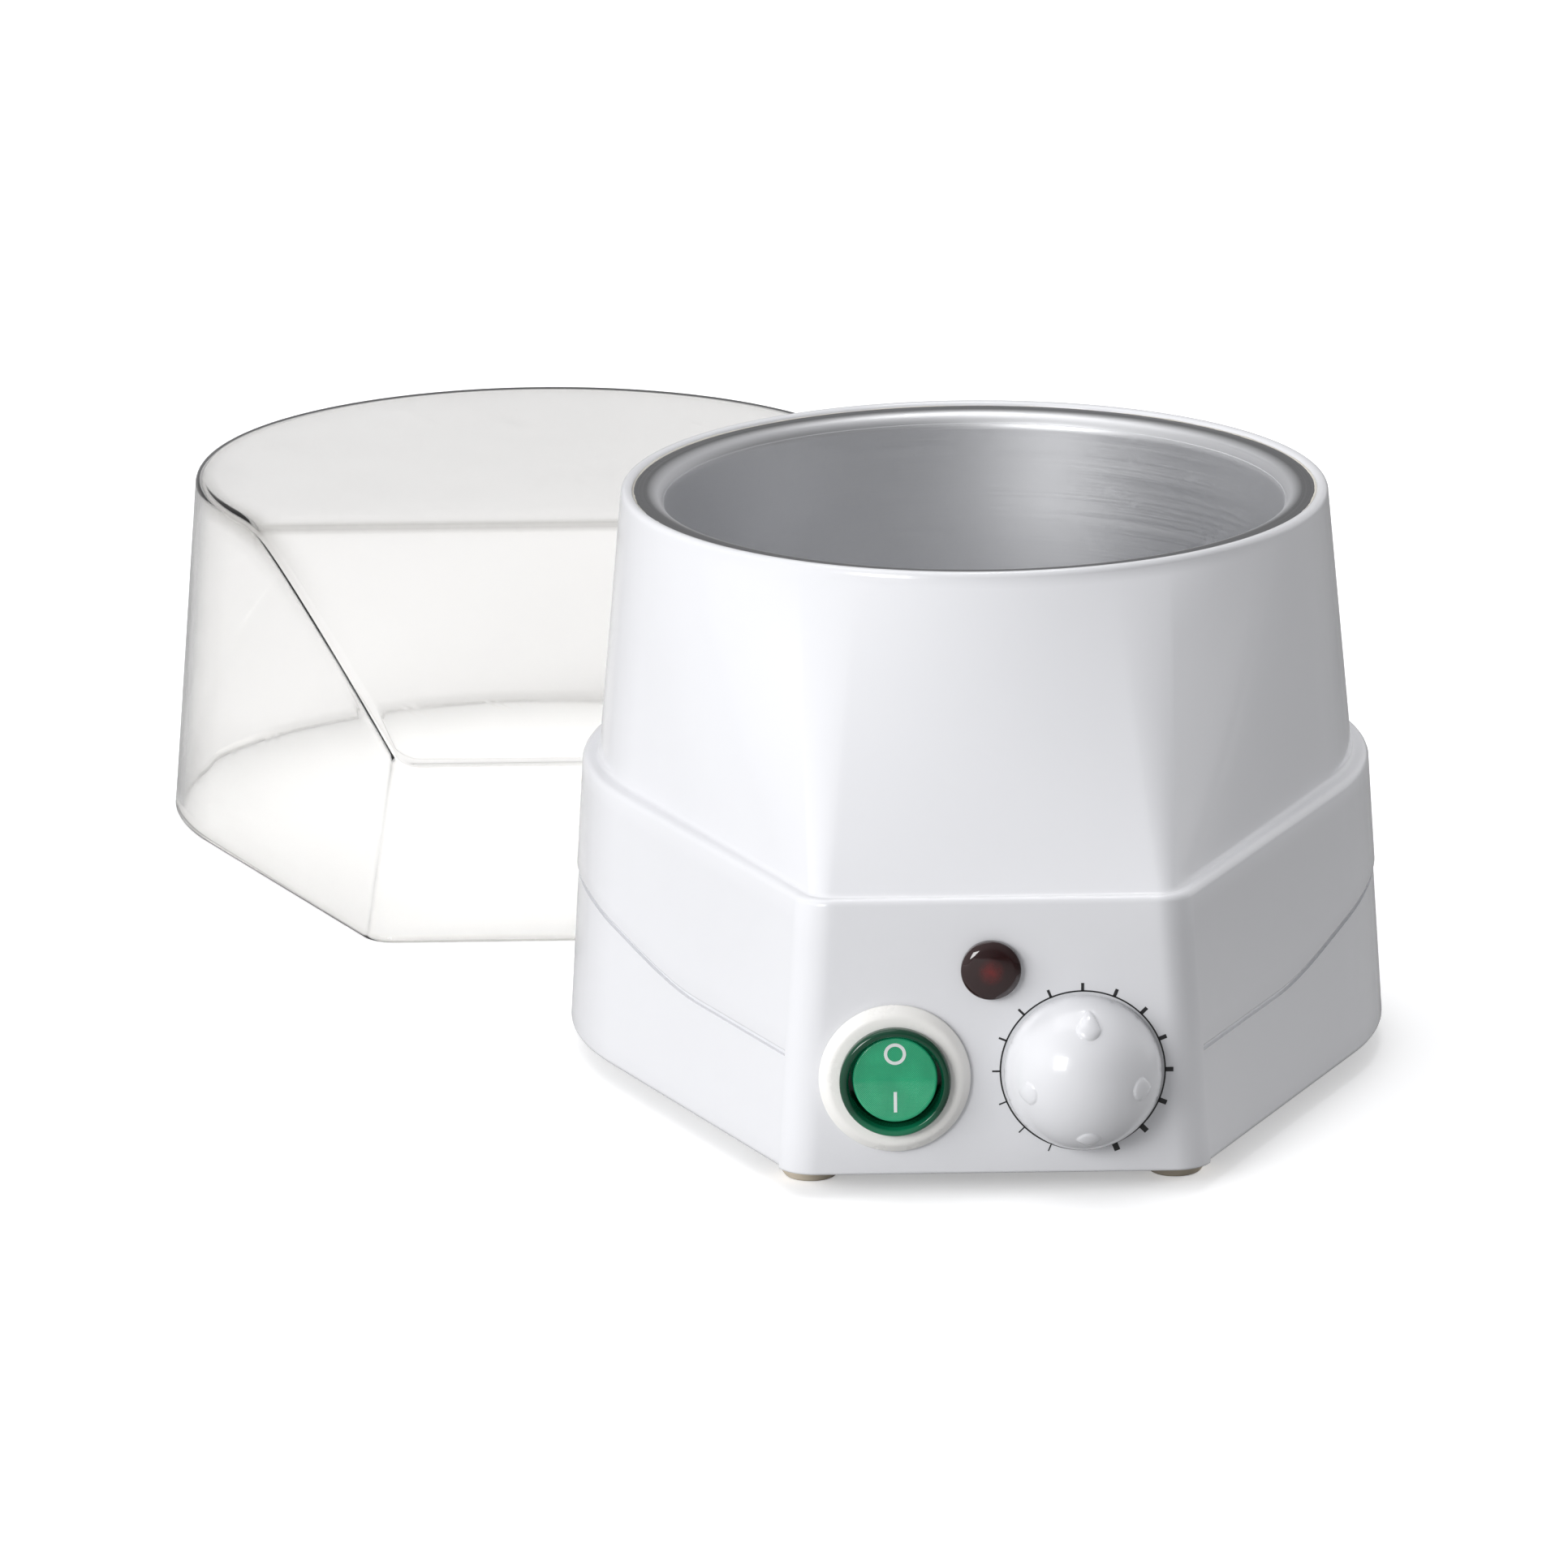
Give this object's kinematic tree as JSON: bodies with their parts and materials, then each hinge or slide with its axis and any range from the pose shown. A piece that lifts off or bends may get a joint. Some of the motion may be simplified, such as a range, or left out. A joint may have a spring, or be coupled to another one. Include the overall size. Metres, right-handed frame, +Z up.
{
  "type": "wax warmer pot",
  "caption": "Wax warmer with a round metal well, a flat control nose with rocker, lamp and dial knob, and a clear lift-off lid beside it.",
  "frame": {"origin": "centre of the base tray's underside, on the heating well's axis; the feet reach 5.1 mm below it", "axes": "+Z up along the well's axis; the control panel faces -Y; +X is to the right for someone facing the panel; the lid stands on the table towards -X and +Y"},
  "size_m": [0.2752, 0.4383, 0.1286],
  "materials": {
    "shell_white": "gloss injection-moulded white shell",
    "trim_white": "satin warm white trim",
    "well_aluminium": "spun aluminium, brushed round the axis",
    "steel": "zinc-plated steel",
    "brass": "plain brass and copper",
    "sealant": "pale silicone sealant",
    "foot_rubber": "cream rubber",
    "insulation": "glass-fibre felt",
    "heater_silicone": "silicone heating mat",
    "switch_green": "translucent green",
    "lamp_red": "translucent dark red",
    "black_moulding": "black nylon",
    "phenolic": "brown phenolic",
    "wire_sleeve": "silicone wire sleeve",
    "lid_clear": "clear moulded plastic"
  },
  "bodies": {
    "housing": {"upper_housing": "shell_white", "base_tray": "shell_white", "switch_collar": "trim_white", "cord_gland": "trim_white", "thermal_fuse": "trim_white", "heating_well": "well_aluminium", "heater_strap": "steel", "strap_screw": "steel", "heat_shield": "steel", "bulb_clip": "steel", "fuse_clip": "steel", "thermostat_nut": "steel", "housing_screw_1": "steel", "housing_screw_2": "steel", "housing_screw_3": "steel", "housing_screw_4": "steel", "shield_screw_1": "steel", "shield_screw_2": "steel", "shield_screw_3": "steel", "thermostat_bulb": "brass", "capillary_tube": "brass", "switch_blade_1": "brass", "switch_blade_2": "brass", "thermostat_blade_1": "brass", "thermostat_blade_2": "brass", "rim_seal": "sealant", "rubber_foot_1": "foot_rubber", "rubber_foot_2": "foot_rubber", "rubber_foot_3": "foot_rubber", "rubber_foot_4": "foot_rubber", "insulation_sleeve": "insulation", "floor_insulation": "insulation", "heater_band": "heater_silicone", "switch_body": "switch_green", "lamp_lens": "lamp_red", "lamp_nut": "black_moulding", "lamp_body": "black_moulding", "gland_nut": "black_moulding", "terminal_block": "black_moulding", "thermostat_body": "phenolic", "wire_supply_to_switch": "wire_sleeve", "wire_switch_to_thermostat": "wire_sleeve", "wire_supply_to_heater": "wire_sleeve", "wire_thermostat_to_heater": "wire_sleeve", "wire_switch_to_lamp": "wire_sleeve"},
    "knob": {"control_knob": "shell_white", "thermostat_shaft": "steel"},
    "rocker": {"switch_rocker": "switch_green"},
    "lid": {"lid": "lid_clear"}
  },
  "joints": [
    {"name": "knob_turn", "type": "hinge", "parent": "housing", "child": "knob", "pos_m": [0.0191, -0.126, 0.0233], "axis": [0, 1, 0], "range_deg": [-157.5, 157.5]},
    {"name": "rocker_press", "type": "hinge", "parent": "housing", "child": "rocker", "pos_m": [-0.022, -0.125, 0.0223], "axis": [1, 0, 0], "range_deg": [0, 16]},
    {"name": "lid_lift", "type": "slide", "parent": "housing", "child": "lid", "axis": [0, 0, 1], "range_m": [0, 0.15]}
  ]
}
